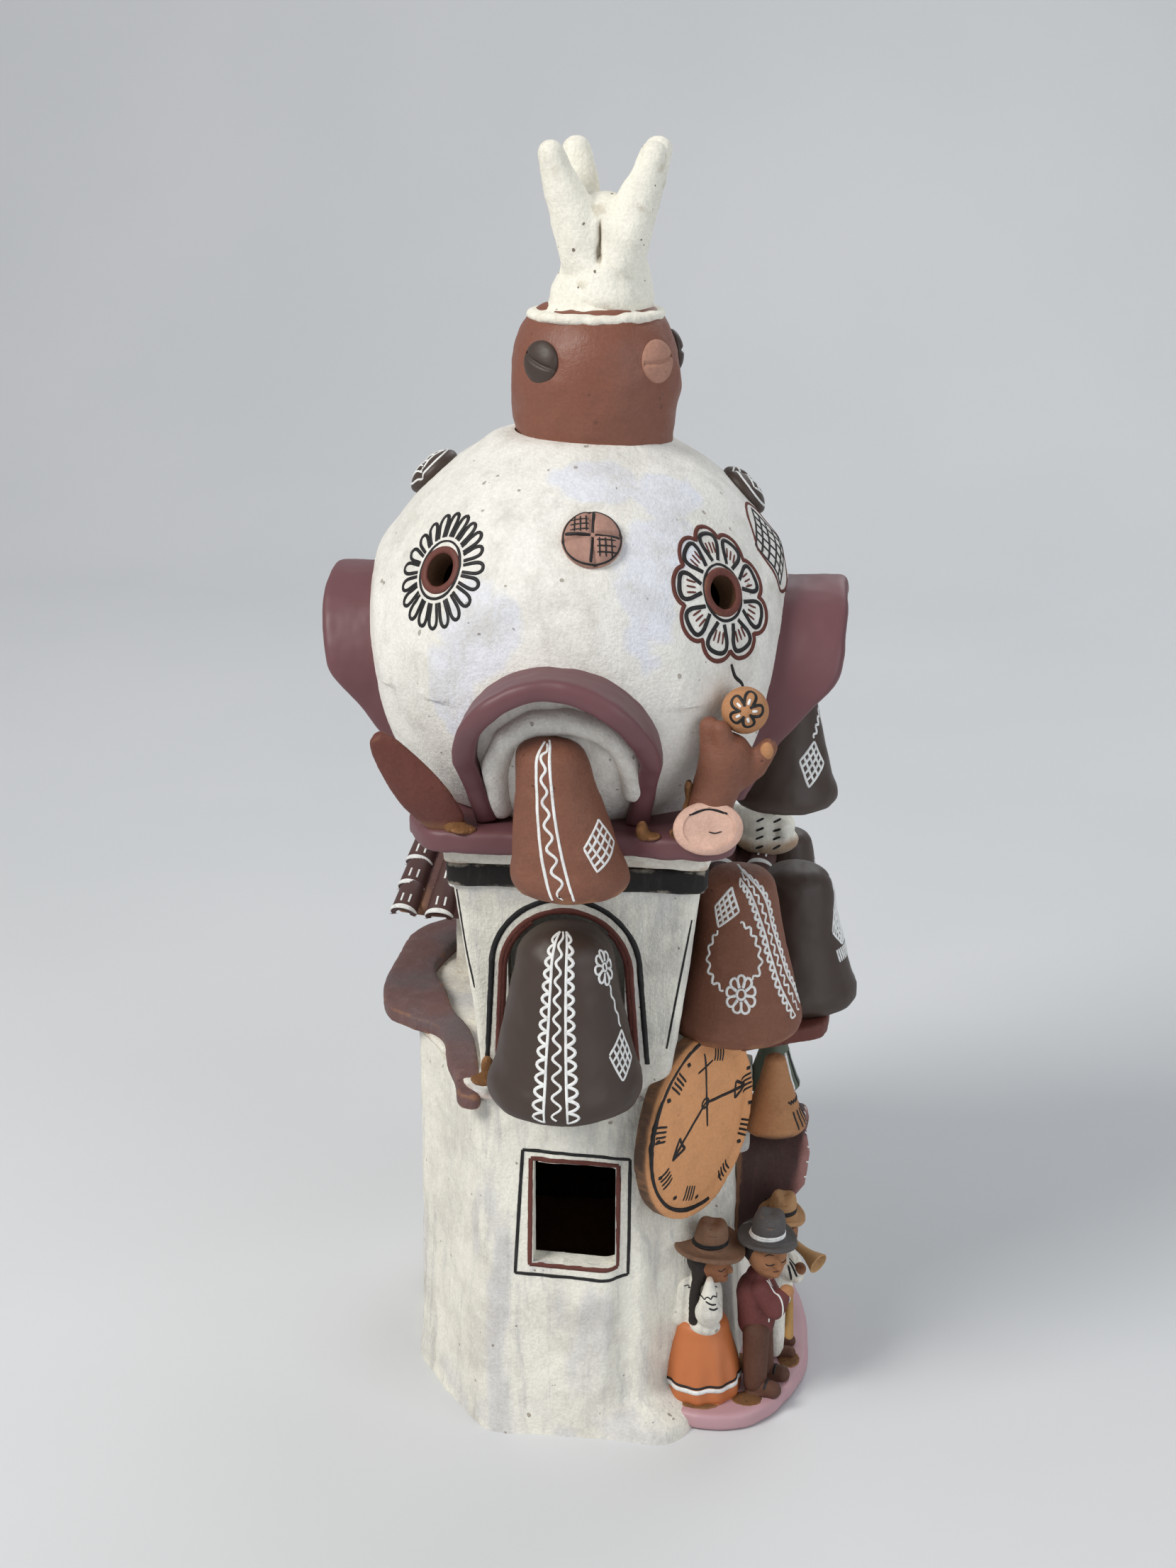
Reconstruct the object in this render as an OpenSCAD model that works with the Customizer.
// Hand-built clay church tower with bells, clock and band of figures.
// +Z is up, the window faces -Y and the portal faces +X.
// The origin lies on the table below the axis of the dome.

/* [Lower body] */
// Height of the lower walls
body_h = 119; // [112:1:124]
// Thickness of the clay walls
wall_t = 8; // [6:0.5:9]
// Width of the square window
window_w = 31; // [24:1:34]
// Height of the square window
window_h = 40; // [32:1:42]
// Height of the window's sill above the table
window_z = 60; // [50:1:66]
// Thickness of the floor
floor_t = 7; // [5:0.5:9]

/* [Ledges] */
// Thickness of the flat plate that closes the lower body
plate_t = 3; // [2:0.5:4]
// Thickness of the wavy ledges on the lower body
ledge_t = 5.5; // [4:0.5:7]
// Thickness of the plate below the dome
dome_ledge_t = 7; // [5:0.5:8]

/* [Belfry] */
// Height at which the belfry's walls end
belfry_top = 197; // [192:1:200]
// Height of the black band
band_h = 8; // [6:0.5:9]
// Height of the white cap over the band
cap_h = 7; // [5:0.5:8]

/* [Dome] */
// Outer radius of the dome
dome_r = 69; // [64:1:70]
// Thickness of the dome's shell
dome_t = 8; // [6:0.5:10]
// Height of the dome's centre
dome_z = 266; // [264:1:270]
// Radius of the two round holes
eye_r = 6; // [4:0.5:7]
// Thickness of the arched hoods
hood_t = 6; // [5:0.5:8]
// Reach of the hoods from the dome's axis
hood_reach = 87; // [82:1:90]

/* [Top] */
// Widest radius of the lantern
lantern_r = 26; // [24:0.5:28]
// Height of the crown's highest point
crown_top = 420; // [414:1:426]
// How far the lantern leans to the right
lantern_lean = 5; // [0:0.5:6]

/* [Bells] */
// Mouth radius of the large bell in the front arch
front_bell_r = 24.5; // [20:0.5:26]
// Mouth radius of the bell on the belfry's right face
lace_bell_r = 22; // [18:0.5:24]
// Mouth radius of the dark bell beside the roof
side_bell_r = 22; // [18:0.5:23]
// Mouth radius of the two bells that hang from the dome
dome_bell_r = 17.8; // [15:0.2:19]

/* [Clock] */
// Radius of the clock's disc
clock_r = 32; // [28:1:34]
// Thickness of the clock's disc
clock_t = 7; // [5:0.5:8]
// Direction that the clock faces, from the front towards the right
clock_turn = 60; // [50:1:70]

/* [Roof] */
// Slope of the tiled roof
roof_slope = 29; // [25:1:33]
// Turn of the roof against the belfry
roof_turn = -9; // [-12:1:0]
// Distance between the columns of tiles
tile_pitch = 13.8; // [12:0.1:14]
// Length of each tile that shows
tile_step = 11.5; // [10:0.5:12]

/* [Figures] */
// Thickness of the porch under the figures
porch_t = 6; // [4:0.5:7]

/* [Hidden] */
$fn = 48;
eps = 0.5;

// Clay colours
white_c = "#e9e4d6";
purple_c = "#5c3439";
brown_c = "#7c4230";
dark_c = "#3b2c25";
red_c = "#7c2c20";
tan_c = "#c58a55";
lilac_c = "#b98c96";

// Plan of the lower body, counter-clockwise from its front left corner
body_top = [[-28, -40], [32, -37], [50, 0], [55, 62], [34, 106], [-34, 106], [-62, 60], [-58, 12]];
body_foot = [[-29, -49], [36, -54], [57, -12], [60, 64], [37, 110], [-38, 110], [-60, 62], [-55, -8]];
// Plan of the belfry
belfry_foot = [[-28, -40], [32, -40], [32, 26], [-28, 26]];
belfry_head = [[-36, -49], [42, -49], [42, 34], [-36, 34]];
belfry_z = body_h + plate_t;
belfry_mid_x = 2;
// Vertical planes that the front and right bells lie against
front_niche_y = -43.5;
right_niche_x = 36.5;
ledge_z = belfry_top + band_h + cap_h;
dome_foot = ledge_z + dome_ledge_t;
// Middle of the roof's ridge, and the roof's size
ridge = [0, 78];
ridge_z = 172;
roof_half_len = 70;
roof_run = 39;
roof_t = 5;
tile_r = 4.8;
tile_rows = 4;
tile_cols = 10;
lantern_foot = dome_z + dome_r - 6;
crown_foot = 371;
crown_x = lantern_lean + 2.5;

// Inward offset of corner i of a closed plan by t
function unit(v) = v / norm(v);
function inward(a, b) = [-unit(b - a)[1], unit(b - a)[0]];
function inset(p, i, t) =
    let (n = len(p), a = p[(i + n - 1) % n], b = p[i], c = p[(i + 1) % n],
         n0 = inward(a, b), n1 = inward(b, c))
    b + (n0 + n1) * t / (1 + n0 * n1);
function inset_plan(p, t) = [for (i = [0 : len(p) - 1]) inset(p, i, t)];

// One leaning wall between corner i and the next of two plans
module wall(foot, head, i, z0, z1, t) {
    j = (i + 1) % len(foot);
    low = [foot[i], foot[j], inset(foot, j, t), inset(foot, i, t)];
    high = [head[i], head[j], inset(head, j, t), inset(head, i, t)];
    polyhedron(
        [for (p = low) [p[0], p[1], z0], for (p = high) [p[0], p[1], z1]],
        [[0, 1, 2], [0, 2, 3], [4, 5, 0], [5, 1, 0], [7, 6, 5], [7, 5, 4],
         [5, 6, 1], [6, 2, 1], [6, 7, 2], [7, 3, 2], [7, 4, 0], [7, 0, 3]]);
}

module body_wall(i) {
    wall(body_foot, body_top, i, 0, body_h, wall_t);
}

module floor_slab() {
    color(tan_c) linear_extrude(floor_t) polygon(inset_plan(body_foot, wall_t + 1));
}

module front_wall() {
    color(white_c) difference() {
        body_wall(0);
        translate([belfry_mid_x - window_w / 2, -60, window_z]) cube([window_w, 40, window_h]);
    }
}

module clock_wall() { color(white_c) body_wall(1); }
module facade_wall() { color(white_c) body_wall(2); }
module rear_right_wall() { color(white_c) body_wall(3); }
module back_wall() { color(white_c) body_wall(4); }
module rear_left_wall() { color(white_c) body_wall(5); }
module left_wall() { color(white_c) body_wall(6); }
module diagonal_wall() { color(white_c) body_wall(7); }

module roof_plate() {
    color(white_c) translate([0, 0, body_h]) linear_extrude(plate_t) polygon(body_top);
}

// Wavy ledges: hand-cut outlines that lie on the plate and overhang the walls
module left_ledge() {
    color(purple_c) translate([0, 0, belfry_z]) linear_extrude(ledge_t)
        polygon([[-29, -42], [-37, -37], [-44, -14], [-49, 4], [-59, 15], [-68, 30], [-72, 56],
                 [-69, 84], [-54, 100], [-40, 108], [-38, 100], [-52, 80], [-57, 57], [-56, 47],
                 [-48, 26], [-43, 14], [-36, -4], [-31, -28]]);
}

module right_ledge() {
    color(purple_c) translate([0, 0, belfry_z]) linear_extrude(ledge_t)
        polygon([[54, -2], [64, 5], [76, 6], [83, 14], [83, 28], [76, 38], [66, 44], [64, 60],
                 [60, 78], [44, 102], [38, 98], [50, 70], [52, 40], [52, 14]]);
}

module belfry_wall(i) {
    wall(belfry_foot, belfry_head, i, belfry_z, belfry_top, wall_t);
}

// Upright arched prism along -Y, its foot at the origin
module arch_prism(w, h, depth) {
    rotate([90, 0, 0]) linear_extrude(depth) {
        translate([0, h - w / 2]) circle(w / 2);
        translate([-w / 2, 0]) square([w, h - w / 2]);
    }
}

module belfry_front() {
    color(white_c) difference() {
        belfry_wall(0);
        translate([0, front_niche_y, belfry_z + 6]) arch_prism(38, 60, 20);
    }
}

module belfry_right() {
    color(white_c) difference() {
        belfry_wall(1);
        translate([right_niche_x, -8, belfry_z + 10]) rotate([0, 0, 90]) arch_prism(34, 54, 20);
    }
}

module belfry_back() { color(white_c) belfry_wall(2); }
module belfry_left() { color(white_c) belfry_wall(3); }

// Plate that follows the belfry's head, wider by d all round
module head_plate(d, z, h) {
    lo = belfry_head[0];
    hi = belfry_head[2];
    translate([lo[0] - d, lo[1] - d, z]) cube([hi[0] - lo[0] + 2 * d, hi[1] - lo[1] + 2 * d, h]);
}

module belfry_band() { color(dark_c) head_plate(2, belfry_top, band_h); }
module belfry_cap() { color(white_c) head_plate(3, belfry_top + band_h, cap_h); }

module dome_ledge() {
    x0 = -49;
    x1 = 52;
    y0 = -65;
    y1 = 58;
    r = 11;
    color(purple_c) translate([0, 0, ledge_z]) linear_extrude(dome_ledge_t) {
        translate([x0 + r, y0]) square([x1 - x0 - 2 * r, y1 - y0]);
        translate([x0, y0 + r]) square([x1 - x0, y1 - y0 - 2 * r]);
        for (x = [x0 + r, x1 - r], y = [y0 + r, y1 - r]) translate([x, y]) circle(r);
    }
}

// Turns its children to azimuth az and elevation el around the dome's centre, outward along +Z
module on_dome(az, el) {
    translate([0, 0, dome_z]) rotate([0, 0, az]) rotate([90 - el, 0, 0]) children();
}

module dome() {
    color(white_c) difference() {
        translate([0, 0, dome_z]) sphere(dome_r, $fn = 96);
        translate([0, 0, dome_z]) sphere(dome_r - dome_t, $fn = 96);
        translate([-80, -80, dome_z - 100]) cube([160, 160, 100 + dome_foot - dome_z]);
        on_dome(-39.5, 27.9) cylinder(r = eye_r, h = dome_r + 10);
        on_dome(48.9, 21.9) cylinder(r = eye_r, h = dome_r + 10);
    }
}

// Arch of the hood as seen from outside: round top, legs that draw in to their tips
module hood_arch(half_w, top_z, foot_z) {
    translate([0, top_z - half_w]) circle(half_w);
    polygon([[-half_w, top_z - half_w], [-half_w * 0.8, foot_z],
             [half_w * 0.8, foot_z], [half_w, top_z - half_w]]);
}

// A sheet of clay bent to an arch; its lip stands furthest out at the top
module dome_hood(az, top_z, mid_x, reach) {
    half_w = 31.5;
    color(purple_c) rotate([0, 0, az]) difference() {
        intersection() {
            translate([mid_x, 0, 0]) rotate([90, 0, 0]) linear_extrude(reach + 10) difference() {
                hood_arch(half_w, top_z, dome_foot);
                translate([0, -eps]) hood_arch(half_w - hood_t, top_z - hood_t + eps, dome_foot - 1);
            }
            rotate([90, 0, -90]) translate([0, 0, -60]) linear_extrude(120)
                polygon([[40, dome_foot], [reach * 0.68, dome_foot], [reach * 0.8, dome_foot + 13],
                         [reach * 0.92, dome_foot + 27], [reach - 1.5, dome_foot + 40],
                         [reach, top_z - 7], [reach - 3, top_z + 1], [40, top_z + 1]]);
        }
        translate([0, 0, dome_z]) sphere(dome_r - 1, $fn = 96);
    }
}

module front_hood() { dome_hood(0, 274, -1, hood_reach); }
module right_hood() { dome_hood(90, 286, 0, hood_reach); }
module left_hood() { dome_hood(-90, 288, 0, hood_reach - 6); }
module rear_hood() { dome_hood(180, 280, 0, hood_reach - 4); }

// Half section of a bell from its crown to its mouth
function bell_section(r, h, top_r) = concat(
    [[0, h]],
    [for (a = [75 : -25 : 0]) [top_r * cos(a), h - top_r * 0.7 * (1 - sin(a))]],
    [for (t = [0.25 : 0.25 : 0.75])
        [top_r + (r - top_r) * (0.55 * t + 0.45 * t * t), (h - top_r * 0.7) * (1 - t)]],
    [[r, h * 0.1], [r - 0.8, h * 0.03], [r - 3, 0], [0, 0]]);

// Bell that stands on its mouth at the origin, with a round hollow inside
module bell(r, h, top_r, hollow_r, hollow_h) {
    difference() {
        rotate_extrude() polygon(bell_section(r, h, top_r));
        translate([0, 0, -1]) cylinder(r = hollow_r, h = hollow_h - hollow_r + 1);
        translate([0, 0, hollow_h - hollow_r]) sphere(hollow_r);
    }
}

tongue_at = [4, -71, 206];
module tongue_bell() {
    color(brown_c) difference() {
        translate(tongue_at) difference() {
            rotate_extrude() polygon(bell_section(dome_bell_r, 47, 10.5));
            translate([0, -5.5, -1]) cylinder(r = 8, h = 27);
            translate([0, -5.5, 26]) sphere(8);
        }
        translate([-30, -65.3, 200]) cube([60, 30, dome_foot - 199.5]);
        translate([0, 0, dome_z]) sphere(dome_r - 1.5, $fn = 96);
    }
}

right_dome_bell_at = [67, -1, 211];
module right_dome_bell() {
    color(dark_c) difference() {
        translate(right_dome_bell_at) bell(dome_bell_r - 1, 42, 10, 10.5, 33);
        translate([0, 0, dome_z]) sphere(dome_r - 1.5, $fn = 96);
    }
}

front_bell_at = [0.5, -58, 130];
module front_bell() {
    color(dark_c) difference() {
        translate(front_bell_at) bell(front_bell_r, 58, 16, 11.5, 44);
        translate([-40, front_niche_y, 120]) cube([80, 60, 80]);
    }
}

lace_bell_at = [53, -9, 134];
module lace_bell() {
    color(brown_c) difference() {
        translate(lace_bell_at) bell(lace_bell_r, 57, 13, 13, 44);
        translate([-20, -50, 120]) cube([20 + right_niche_x, 90, 90]);
    }
}

side_bell_at = [72, 30, 128];
module side_bell() {
    color(dark_c) translate(side_bell_at) bell(side_bell_r, 50, 13, 15, 38);
}

rear_side_bell_at = [69, 74, 132];
module rear_side_bell() {
    color(dark_c) translate(rear_side_bell_at) bell(17, 43, 9, 11, 33);
}

portal_bell_at = [66.5, 10, 87];
module portal_bell() {
    color(tan_c) translate(portal_bell_at) bell(11, 28, 3.6, 6, 20);
}

small_portal_bell_at = [66, 36, 90];
module small_portal_bell() {
    color("#3f4a38") translate(small_portal_bell_at) bell(9.5, 24, 3.6, 5, 17);
}

// Hood over the portal, on the wall that faces +X
module portal_hood() {
    half_w = 20;
    top_z = 86;
    color(purple_c) translate([0, 27, 0]) intersection() {
        rotate([90, 0, 90]) linear_extrude(90) difference() {
            hood_arch(half_w, top_z, 46);
            translate([0, -eps]) hood_arch(half_w - hood_t + 1, top_z - hood_t + 1, 45);
        }
        rotate([90, 0, 0]) translate([0, 0, -30]) linear_extrude(60)
            polygon([[53, 46], [66, 46], [74, 52], [79, 66], [80, 76], [77, 87], [53, 87]]);
    }
}

// Places its children in the roof's frame: x along the ridge, y down the front slope is negative
module roof_frame() {
    translate([ridge[0], ridge[1], 0]) rotate([0, 0, roof_turn]) children();
}

// Outline of the room under the roof
nave_half_x = 46;
nave_half_y = 32;
nave_eave_z = ridge_z - nave_half_y * tan(roof_slope) - roof_t * 1.4;
module nave_side_walls() {
    color(white_c) roof_frame() for (s = [-1, 1])
        translate([-nave_half_x + 8, s * (nave_half_y - 4) - 4, belfry_z])
            cube([2 * nave_half_x - 16, 8, nave_eave_z - belfry_z]);
}

module nave_gables() {
    color(white_c) roof_frame() for (s = [-1, 1])
        translate([s * (nave_half_x - 4) - 4, 0, 0]) rotate([90, 0, 90]) linear_extrude(8)
            polygon([[-nave_half_y, belfry_z], [nave_half_y, belfry_z],
                     [nave_half_y, nave_eave_z], [0, ridge_z - roof_t * 1.4],
                     [-nave_half_y, nave_eave_z]]);
}

// Section of the roof: two slabs that meet under the ridge
module roof_slabs() {
    drop = roof_run * tan(roof_slope);
    color(purple_c) roof_frame() rotate([90, 0, 90])
        translate([0, 0, -roof_half_len + 4]) linear_extrude(2 * roof_half_len - 8)
            polygon([[0, ridge_z], [roof_run, ridge_z - drop], [roof_run - 2, ridge_z - drop - roof_t],
                     [0, ridge_z - roof_t * 1.3], [-roof_run + 2, ridge_z - drop - roof_t],
                     [-roof_run, ridge_z - drop]]);
}

// One barrel tile, lying along +X with its open side down
module barrel_tile() {
    difference() {
        rotate([0, 90, 0]) cylinder(r = tile_r, h = tile_step + 1.5, $fn = 24);
        translate([-1, 0, 0]) rotate([0, 90, 0]) cylinder(r = tile_r - 1.8, h = tile_step + 4, $fn = 24);
        translate([-1, -tile_r - 1, -2 * tile_r]) cube([tile_step + 4, 2 * tile_r + 2, 2 * tile_r]);
    }
}

module roof_tiles() {
    color("#4a2c2a") roof_frame() for (s = [0, 180], c = [0 : tile_cols - 1], r = [0 : tile_rows - 2])
        rotate([0, 0, s]) translate([(c - (tile_cols - 1) / 2) * tile_pitch, 0, ridge_z])
            rotate([0, 0, -90]) rotate([0, roof_slope, 0]) translate([4 + r * tile_step, 0, 0.1])
                rotate([0, 3, 0]) barrel_tile();
}

dove_at = [61, 66, ridge_z + 7];
module dove() {
    color(white_c) translate(dove_at) {
        sphere(9.5);
        translate([0, -1, 11]) sphere(5.5);
        translate([0, 0, -8.5]) cylinder(r = 7, h = 6);
        translate([0, 0, 5]) cylinder(r1 = 7, r2 = 5, h = 6);
    }
}

// Thick leaf on the left corner of the ledge, leaning outward
module corner_leaf() {
    color(red_c) translate([-39, -55, dome_foot]) rotate([0, -33, 0]) rotate([90, 0, 14])
        translate([0, 0, -3]) linear_extrude(6) {
            translate([-6, 4]) square([12, 21]);
            translate([0, 25]) circle(6);
            translate([-5, 0]) square([10, 5]);
        }
}

cuff_at = [43.8, -62, 222];
module cuff() {
    color(lilac_c) translate(cuff_at) rotate([72, 0, 8]) translate([0, 0, -3]) cylinder(r = 9, h = 6);
}

ball_at = [54.5, -55, 258];
module hand() {
    color(brown_c) difference() {
        union() {
            translate([44.5, -57, 227]) rotate([0, 15, 0]) cylinder(r1 = 6.6, r2 = 7.4, h = 16);
            translate([48.8, -57, 243]) sphere(8);
            translate([46, -57.4, 243]) rotate([0, -8, 0]) cylinder(r = 3.6, h = 9);
            translate([44.7, -57.4, 252]) sphere(3.9);
            translate([53, -56.6, 236]) rotate([0, 40, 0]) cylinder(r = 3.2, h = 14);
            translate([62, -56.6, 246.7]) sphere(3.5);
            translate([44.5, -57, 227]) sphere(7);
        }
        translate(ball_at) sphere(7.4);
        translate([0, 0, dome_z]) sphere(dome_r + 0.05, $fn = 96);
        translate(cuff_at) rotate([72, 0, 8]) translate([0, 0, -3]) cylinder(r = 9, h = 6);
        translate([30, -70, dome_foot - 10]) cube([40, 60, 10]);
    }
}

module ball() { color(tan_c) translate(ball_at) sphere(7.3); }

// Lens-shaped button with its back at the origin, facing +Z
module button(r, h) {
    rotate_extrude() polygon(concat([[0, -2], [r, -2]],
        [for (a = [0 : 18 : 90]) [r * cos(a), h * sin(a)]]));
}

module dome_bosses() {
    color(dark_c) for (p = [[9, 38], [-93.5, 47.5], [101, 41], [190, 40]])
        on_dome(p[0], p[1]) translate([0, 0, dome_r - 0.4]) button(9, 5);
}

lantern_h = crown_foot - lantern_foot;
module lantern() {
    color(brown_c) translate([lantern_lean, 0, lantern_foot]) difference() {
        rotate_extrude() polygon([[0, 0], [lantern_r - 2, 0], [lantern_r - 1.2, lantern_h * 0.12],
            [lantern_r - 0.3, lantern_h * 0.3], [lantern_r, lantern_h * 0.5],
            [lantern_r - 0.7, lantern_h * 0.66], [lantern_r - 3, lantern_h * 0.82],
            [lantern_r - 6.5, lantern_h * 0.93], [lantern_r - 10.5, lantern_h], [0, lantern_h]]);
        translate([-lantern_lean, 0, dome_z - lantern_foot]) sphere(dome_r, $fn = 96);
    }
}

module lantern_buttons() {
    color(dark_c) for (a = [-36, 52, 112, 200])
        translate([lantern_lean, 0, lantern_foot + lantern_h * 0.59]) rotate([0, 0, a])
            rotate([83, 0, 0]) translate([0, 0, lantern_r - 1]) button(6.4, 4);
}

// Rod from point a to point b, with a round end at b
module limb(a, b, r_a, r_b) {
    v = b - a;
    translate(a) rotate([0, acos(v[2] / norm(v)), atan2(v[1], v[0])])
        cylinder(r1 = r_a, r2 = r_b, h = norm(v), $fn = 32);
    translate(b) sphere(r_b * 1.05, $fn = 32);
}

module crown() {
    tip_z = crown_top - 4.6;
    color(white_c) {
        translate([crown_x, 0, crown_foot]) rotate_extrude() polygon([[0, 0], [16.6, 0],
            [16.4, 3], [15.6, 7], [16.4, 13], [16.2, 19], [14, 25], [8, 29], [0, 30]]);
        limb([crown_x - 5, -6, crown_foot + 20], [crown_x - 14.5, -8, tip_z], 8.4, 4.6);
        limb([crown_x - 5, 6, crown_foot + 20], [crown_x - 8.5, 10, tip_z], 7.6, 4.6);
        limb([crown_x + 5, -6, crown_foot + 20], [crown_x + 15, -6, tip_z - 1], 8.4, 4.6);
        limb([crown_x + 5, 6, crown_foot + 20], [crown_x + 16, 9, tip_z], 7.6, 4.6);
    }
}

clock_at = [43, -24, 104];
module clock() {
    color(tan_c) translate(clock_at) rotate([90, 0, clock_turn]) translate([0, 0, -clock_t])
        cylinder(r = clock_r, h = clock_t, $fn = 96);
}

module porch_slab() {
    color(lilac_c) difference() {
        linear_extrude(porch_t) polygon([[30, -28], [33, -37], [43, -43.5], [54, -44.5],
            [66, -37], [75, -22], [80, 0], [80, 22], [77, 42], [72, 56], [58, 62]]);
        linear_extrude(20, center = true) polygon(body_foot);
    }
}

// The woman with the orange skirt
woman_at = [44, -27, porch_t];
module woman_skirt() {
    color("#b4552a") translate(woman_at) rotate_extrude() polygon([[0, 0], [12.6, 0], [13, 2.5],
        [12.4, 7], [10.6, 15], [8, 23], [6.4, 27], [0, 27]]);
}
module woman_torso() {
    color(white_c) translate(woman_at) {
        rotate_extrude() polygon([[0, 27], [6.2, 27], [7.4, 37], [5, 44], [0, 44]]);
        limb([-4, 1, 40], [-7, 1.5, 30], 4, 3.4);
        limb([3, -3, 40], [4.5, -6.5, 31], 3.8, 5);
    }
}
module woman_head() {
    color(brown_c) translate(woman_at) {
        translate([2.5, 0, 49.5]) sphere(7);
        translate([1, 0, 43]) cylinder(r = 4, h = 4);
    }
}

// Wide hat with a round crown, its brim at the origin
module hat(brim_r, crown_r, h) {
    cylinder(r = brim_r, h = 2.6);
    translate([0, 0, 2]) cylinder(r1 = crown_r, r2 = crown_r - 1.4, h = h - 5);
    translate([0, 0, h - 5]) sphere(crown_r - 0.6);
}
module woman_hat() {
    color(tan_c) translate(woman_at + [1.5, 0, 55.5]) rotate([4, 6, 0]) hat(11.5, 5.8, 11);
}

// The man with the flute
man_at = [65, -23, porch_t];
module man_trousers() {
    color(dark_c) translate(man_at) {
        for (leg = [[-2.5, -5.6, -22], [0, 3.8, -12]]) {
            translate([leg[0], leg[1], 3.6]) cylinder(r1 = 4, r2 = 4.5, h = 20.4);
            translate([leg[0], leg[1], 0]) rotate([0, 0, leg[2]]) {
                translate([-3, -2.5, 0]) cube([10, 5, 4]);
                translate([7, 0, 0]) cylinder(r = 2.9, h = 3.3);
            }
        }
    }
}
module man_jacket() {
    color(purple_c) translate(man_at) {
        translate([-2.5, 0, 0]) rotate_extrude()
            polygon([[0, 24], [7.4, 24], [8, 37], [4.6, 45], [0, 45]]);
        limb([-1, -5, 40], [4, -8, 34], 3.4, 3);
        limb([4, -8, 34], [8, -5.4, 41], 2.8, 2.6);
        translate([8.6, -5.8, 22]) cylinder(r = 1.7, h = 19);
    }
}
module man_head() {
    color(tan_c) translate(man_at) {
        translate([0.5, 0, 51]) sphere(7.4);
        translate([-1, 0, 44]) cylinder(r = 4, h = 4);
    }
}
module man_hat() {
    color(dark_c) translate(man_at + [0.5, 0, 57.5]) rotate([3, 5, 0]) hat(10.4, 6, 12);
}

// The horn player behind the man
player_at = [70, -2, porch_t];
module player_body() {
    color(white_c) translate(player_at) {
        translate([-1, 0, 0]) rotate_extrude()
            polygon([[0, 22], [5.6, 22], [6.8, 30], [6.4, 39], [3.6, 44], [0, 44]]);
        for (y = [-3.9, 3.9]) {
            translate([-1, y, 3.4]) cylinder(r1 = 3.1, r2 = 3.5, h = 20);
            translate([-3.5, y - 2.2, 0]) cube([8, 4.4, 4]);
            translate([4.5, y, 0]) cylinder(r = 2.5, h = 3.2);
        }
        limb([0, -4, 38], [6, -3.5, 31], 3.2, 3);
        translate([0, 0, 49]) sphere(6.6);
    }
}
module player_hat() {
    color(tan_c) translate(player_at + [0, 0, 54.5]) hat(8.6, 5, 10);
}
module horn() {
    color(tan_c) translate(player_at) {
        limb([5, -2.6, 44], [10, -6, 41], 1.6, 2.2);
        translate([10, -6, 41]) rotate([32, 12, 0]) cylinder(r1 = 2, r2 = 3.4, h = 6);
    }
}

floor_slab();
front_wall();
clock_wall();
facade_wall();
rear_right_wall();
back_wall();
rear_left_wall();
left_wall();
diagonal_wall();
roof_plate();
left_ledge();
right_ledge();
belfry_front();
belfry_right();
belfry_back();
belfry_left();
belfry_band();
belfry_cap();
dome_ledge();
dome();
front_hood();
right_hood();
left_hood();
rear_hood();
tongue_bell();
right_dome_bell();
front_bell();
lace_bell();
side_bell();
rear_side_bell();
portal_bell();
small_portal_bell();
portal_hood();
nave_side_walls();
nave_gables();
roof_slabs();
roof_tiles();
dove();
corner_leaf();
cuff();
hand();
ball();
dome_bosses();
lantern();
lantern_buttons();
crown();
clock();
porch_slab();
woman_skirt();
woman_torso();
woman_head();
woman_hat();
man_trousers();
man_jacket();
man_head();
man_hat();
player_body();
player_hat();
horn();
